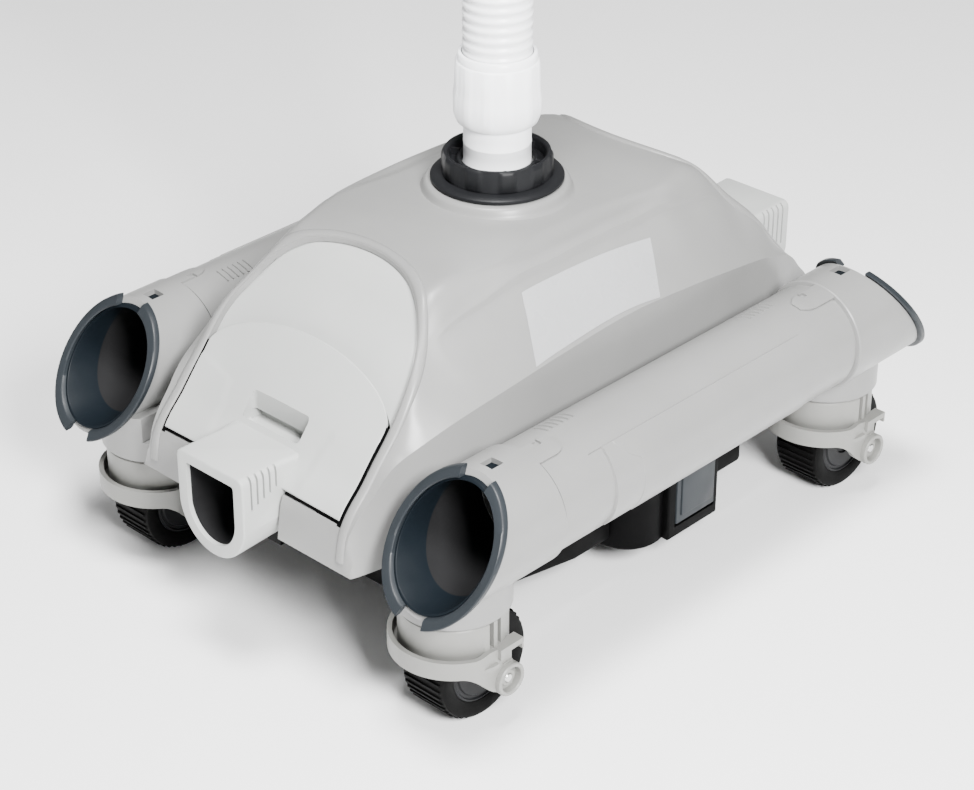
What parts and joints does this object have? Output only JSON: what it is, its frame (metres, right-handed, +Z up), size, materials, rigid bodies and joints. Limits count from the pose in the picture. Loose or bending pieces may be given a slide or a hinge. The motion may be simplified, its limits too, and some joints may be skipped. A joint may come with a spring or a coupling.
{
  "type": "automatic pool cleaner",
  "caption": "Hose-fed automatic pool cleaner: humped grey shell, open side ducts with slanted mouths, jet nozzles front and rear, swivel casters and an upright hose.",
  "frame": {"origin": "centre of the machine's footprint, on the surface its wheels stand on", "axes": "+Z up along the hose, +Y from the front nozzle to the rear nozzle, +X to the machine's right side duct"},
  "size_m": [0.3734, 0.509, 0.634],
  "materials": {
    "shell": "satin moulded light warm grey",
    "cover": "satin moulded pale grey",
    "caster": "satin moulded light grey",
    "inner": "plain moulded grey, hidden inside",
    "blue_grey": "satin moulded dark blue-grey",
    "charcoal": "fine-grained charcoal plastic",
    "black": "matte black plastic",
    "tyre": "black ribbed soft tread",
    "white": "white plastic with a soft gloss",
    "steel": "plain stainless steel"
  },
  "bodies": {
    "cleaner_body": {"upper_housing": "shell", "left_duct": "shell", "right_duct": "shell", "front_nozzle_cover": "cover", "rear_nozzle_cover": "cover", "lower_chassis": "black", "left_pod": "black", "right_pod": "black", "swivel_flange": "charcoal", "inlet_manifold": "inner", "gear_post": "steel", "duct_end_front_left": "shell", "mouth_ring_front_left": "blue_grey", "screw_front_left": "steel", "duct_end_rear_left": "shell", "mouth_ring_rear_left": "blue_grey", "screw_rear_left": "steel", "duct_end_front_right": "shell", "mouth_ring_front_right": "blue_grey", "screw_front_right": "steel", "duct_end_rear_right": "shell", "mouth_ring_rear_right": "blue_grey", "screw_rear_right": "steel"},
    "caster_front_left": {"caster_fork_front_left": "caster", "caster_axle_front_left": "steel"},
    "wheel_front_left": {"tyre_front_left": "tyre", "wheel_hub_front_left": "charcoal"},
    "caster_rear_left": {"caster_fork_rear_left": "caster", "caster_axle_rear_left": "steel"},
    "wheel_rear_left": {"tyre_rear_left": "tyre", "wheel_hub_rear_left": "charcoal"},
    "caster_front_right": {"caster_fork_front_right": "caster", "caster_axle_front_right": "steel"},
    "wheel_front_right": {"tyre_front_right": "tyre", "wheel_hub_front_right": "charcoal"},
    "caster_rear_right": {"caster_fork_rear_right": "caster", "caster_axle_rear_right": "steel"},
    "wheel_rear_right": {"tyre_rear_right": "tyre", "wheel_hub_rear_right": "charcoal"},
    "swivel_pipe": {"hose_stub": "white", "hose_tube": "white", "hose_connector": "white"},
    "hose_nut": {"hose_nut": "white"},
    "locking_ring": {"locking_ring": "charcoal"},
    "left_door": {"left_door": "blue_grey"},
    "right_door": {"right_door": "blue_grey"},
    "turbine_wheel": {"turbine_wheel": "charcoal"},
    "timer_gear": {"timer_gear": "blue_grey"},
    "diverter_flap": {"diverter_flap": "blue_grey"}
  },
  "joints": [
    {"name": "caster_swivel_front_left", "type": "hinge", "parent": "cleaner_body", "child": "caster_front_left", "pos_m": [-0.1315, -0.1875, 0.0795], "axis": [0, 0, 1], "continuous": true},
    {"name": "wheel_roll_front_left", "type": "hinge", "parent": "caster_front_left", "child": "wheel_front_left", "pos_m": [-0.1315, -0.1785, 0.036], "axis": [1, 0, 0], "continuous": true},
    {"name": "caster_swivel_rear_left", "type": "hinge", "parent": "cleaner_body", "child": "caster_rear_left", "pos_m": [-0.1315, 0.1645, 0.0795], "axis": [0, 0, 1], "continuous": true},
    {"name": "wheel_roll_rear_left", "type": "hinge", "parent": "caster_rear_left", "child": "wheel_rear_left", "pos_m": [-0.1315, 0.1735, 0.036], "axis": [1, 0, 0], "continuous": true},
    {"name": "caster_swivel_front_right", "type": "hinge", "parent": "cleaner_body", "child": "caster_front_right", "pos_m": [0.1315, -0.1875, 0.0795], "axis": [0, 0, 1], "continuous": true},
    {"name": "wheel_roll_front_right", "type": "hinge", "parent": "caster_front_right", "child": "wheel_front_right", "pos_m": [0.1315, -0.1785, 0.036], "axis": [1, 0, 0], "continuous": true},
    {"name": "caster_swivel_rear_right", "type": "hinge", "parent": "cleaner_body", "child": "caster_rear_right", "pos_m": [0.1315, 0.1645, 0.0795], "axis": [0, 0, 1], "continuous": true},
    {"name": "wheel_roll_rear_right", "type": "hinge", "parent": "caster_rear_right", "child": "wheel_rear_right", "pos_m": [0.1315, 0.1735, 0.036], "axis": [1, 0, 0], "continuous": true},
    {"name": "hose_swivel", "type": "hinge", "parent": "cleaner_body", "child": "swivel_pipe", "pos_m": [0, -0.0115, 0.2505], "axis": [0, 0, 1], "continuous": true},
    {"name": "hose_nut_turn", "type": "hinge", "parent": "swivel_pipe", "child": "hose_nut", "pos_m": [0, -0.0115, 0.3055], "axis": [0, 0, 1], "range_deg": [0, 90]},
    {"name": "locking_ring_turn", "type": "hinge", "parent": "cleaner_body", "child": "locking_ring", "pos_m": [0, -0.0115, 0.2555], "axis": [0, 0, 1], "range_deg": [0, 30]},
    {"name": "left_door_swing", "type": "hinge", "parent": "cleaner_body", "child": "left_door", "pos_m": [-0.13, 0.0345, 0.0345], "axis": [0, -1, 0], "range_deg": [0, 90]},
    {"name": "right_door_swing", "type": "hinge", "parent": "cleaner_body", "child": "right_door", "pos_m": [0.13, 0.0345, 0.0345], "axis": [0, 1, 0], "range_deg": [0, 90]},
    {"name": "turbine_spin", "type": "hinge", "parent": "cleaner_body", "child": "turbine_wheel", "pos_m": [0, -0.0115, 0.19], "axis": [1, 0, 0], "continuous": true},
    {"name": "timer_gear_spin", "type": "hinge", "parent": "cleaner_body", "child": "timer_gear", "pos_m": [0.026, -0.0115, 0.15], "axis": [1, 0, 0], "continuous": true},
    {"name": "diverter_swing", "type": "hinge", "parent": "cleaner_body", "child": "diverter_flap", "pos_m": [0, -0.0115, 0.129], "axis": [1, 0, 0], "range_deg": [-28, 28]}
  ],
  "couplings": [
    {"joint": "turbine_spin", "follows": "timer_gear_spin", "ratio": -3}
  ]
}
